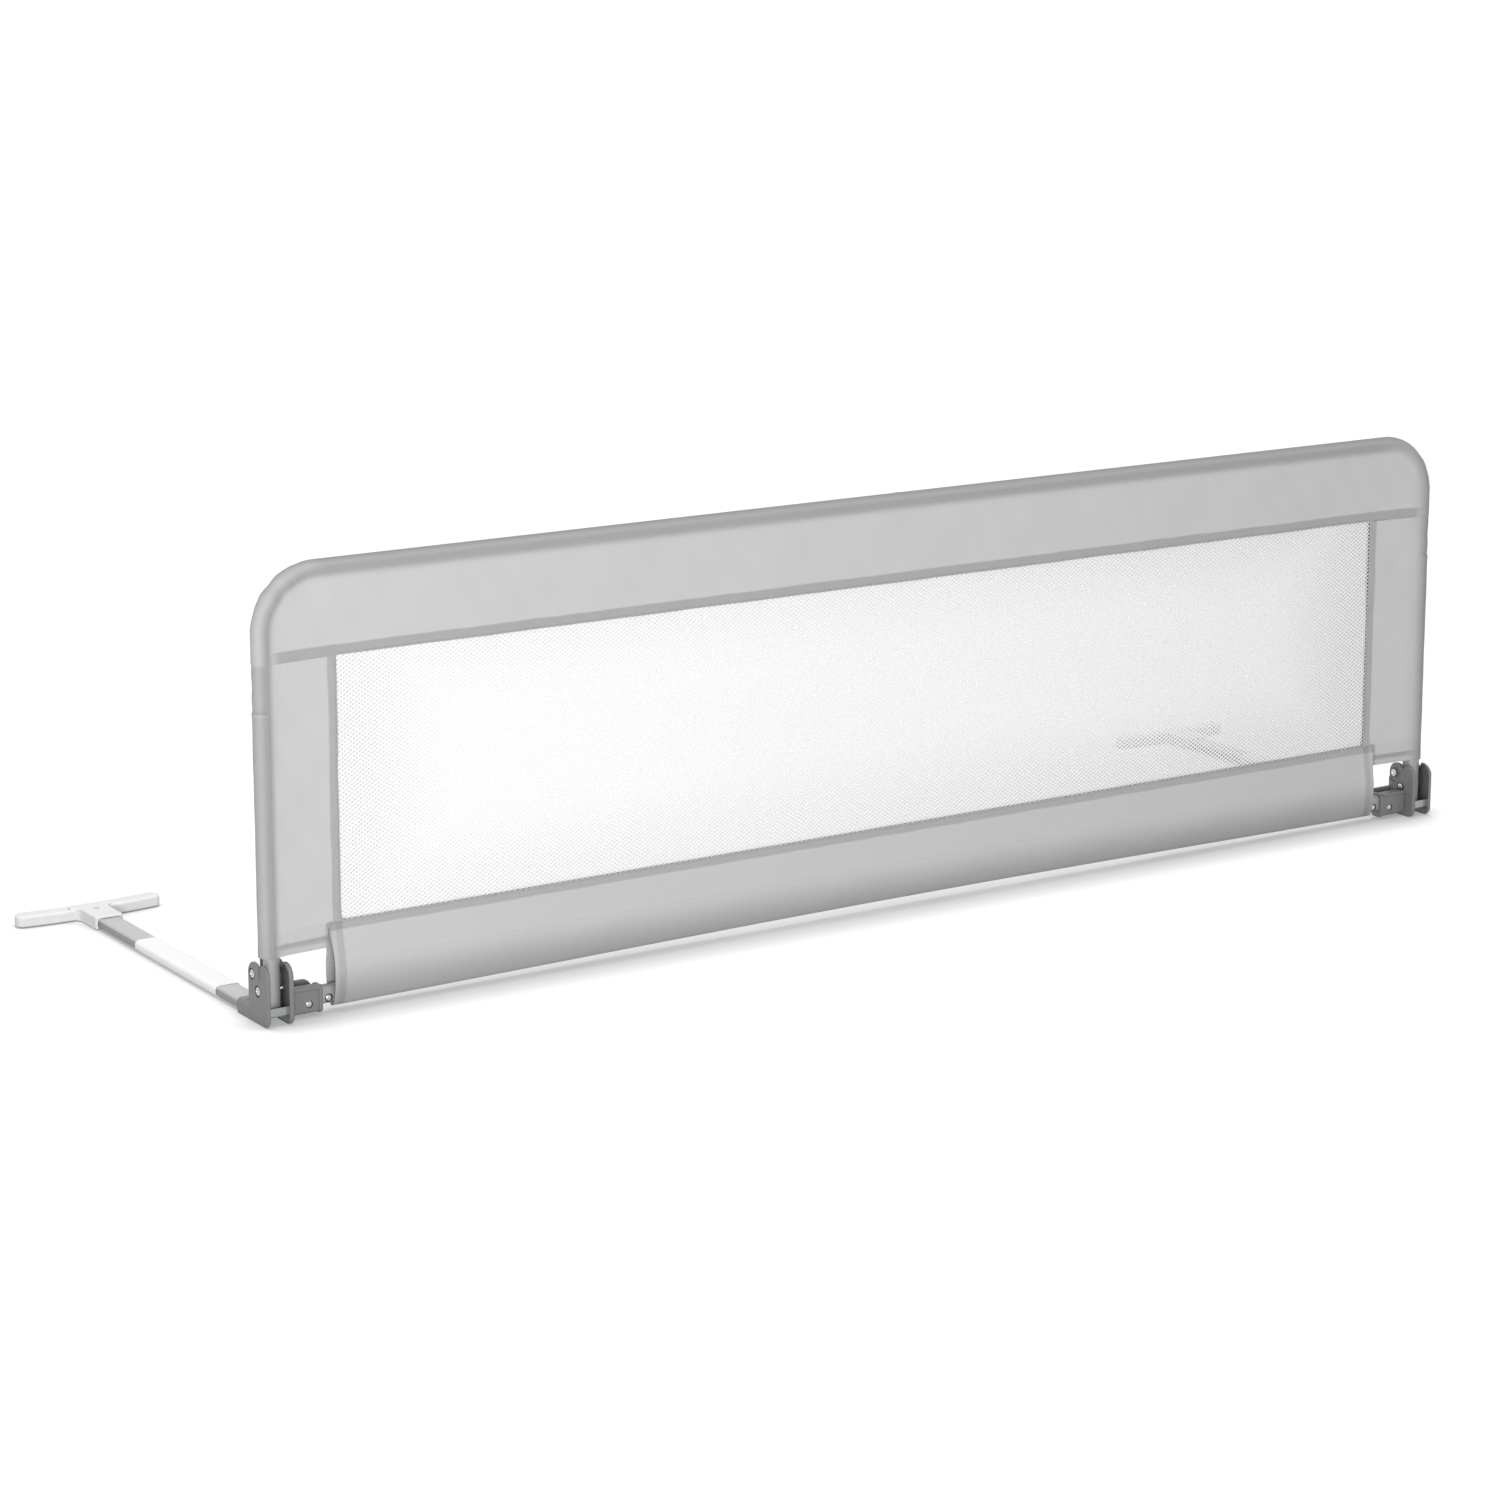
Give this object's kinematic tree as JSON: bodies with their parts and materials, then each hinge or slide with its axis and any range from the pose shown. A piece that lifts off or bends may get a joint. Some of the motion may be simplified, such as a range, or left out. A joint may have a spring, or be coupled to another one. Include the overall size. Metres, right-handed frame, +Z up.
{
  "type": "folding bed guard rail",
  "caption": "Fabric-covered tube guard with a net window that folds down on hinges, on flat legs that slide under a mattress.",
  "frame": {"origin": "on the floor, in the middle of the length and halfway between the hinge plates' front edge and the feet", "axes": "+X along the rail, +Y from the guard towards the bed, +Z up"},
  "size_m": [1.6314, 0.4724, 0.4493],
  "materials": {
    "frame_paint": "satin powder coat",
    "leg_paint": "silver powder coat",
    "bracket_steel": "zinc plated sheet",
    "fastener_steel": "bright zinc plate",
    "hinge_plastic": "fine moulded texture",
    "inner_plastic": "plain moulded",
    "foot_plastic": "satin moulded white",
    "label_film": "plain white film",
    "cover_fabric": "plain woven polyester",
    "net_fabric": "knitted net"
  },
  "bodies": {
    "base": {"crossbar": "frame_paint", "crossbar_loop": "cover_fabric", "left_outer_cover": "hinge_plastic", "left_inner_cover": "hinge_plastic", "left_u_bracket": "bracket_steel", "left_pivot_bolt": "fastener_steel", "left_pivot_nut": "fastener_steel", "left_stop_bolt": "fastener_steel", "left_stop_nut": "fastener_steel", "left_crossbar_insert": "inner_plastic", "left_sleeve_screw": "fastener_steel", "left_crossbar_screw": "fastener_steel", "left_leg_tube": "leg_paint", "left_leg_label": "label_film", "left_foot": "foot_plastic", "left_button_spring": "fastener_steel", "right_outer_cover": "hinge_plastic", "right_inner_cover": "hinge_plastic", "right_u_bracket": "bracket_steel", "right_pivot_bolt": "fastener_steel", "right_pivot_nut": "fastener_steel", "right_stop_bolt": "fastener_steel", "right_stop_nut": "fastener_steel", "right_crossbar_insert": "inner_plastic", "right_sleeve_screw": "fastener_steel", "right_crossbar_screw": "fastener_steel", "right_leg_tube": "leg_paint", "right_leg_label": "label_film", "right_foot": "foot_plastic", "right_button_spring": "fastener_steel"},
    "pivot_bushes": {"left_pivot_bush": "inner_plastic", "right_pivot_bush": "inner_plastic"},
    "guard": {"top_joiner": "frame_paint", "top_band": "cover_fabric", "bottom_band": "cover_fabric", "window_net": "net_fabric", "left_upright_tube": "frame_paint", "left_tube_plug": "inner_plastic", "left_corner_tube": "frame_paint", "left_side_band": "cover_fabric", "right_upright_tube": "frame_paint", "right_tube_plug": "inner_plastic", "right_corner_tube": "frame_paint", "right_side_band": "cover_fabric"},
    "left_button": {"left_snap_button": "fastener_steel"},
    "right_button": {"right_snap_button": "fastener_steel"}
  },
  "joints": [
    {"name": "fold", "type": "hinge", "parent": "base", "child": "pivot_bushes", "pos_m": [0, -0.21471, 0.033], "axis": [1, 0, 0], "range_deg": [0, 90]},
    {"name": "lift", "type": "slide", "parent": "pivot_bushes", "child": "guard", "axis": [0, 0, 1], "range_m": [0, 0.008]},
    {"name": "left_button_press", "type": "slide", "parent": "base", "child": "left_button", "axis": [0, 0, -1], "range_m": [0, 0.0025], "stiffness_N_per_m": 1200, "deforming": ["left_button_spring"]},
    {"name": "right_button_press", "type": "slide", "parent": "base", "child": "right_button", "axis": [0, 0, -1], "range_m": [0, 0.0025], "stiffness_N_per_m": 1200, "deforming": ["right_button_spring"]}
  ]
}
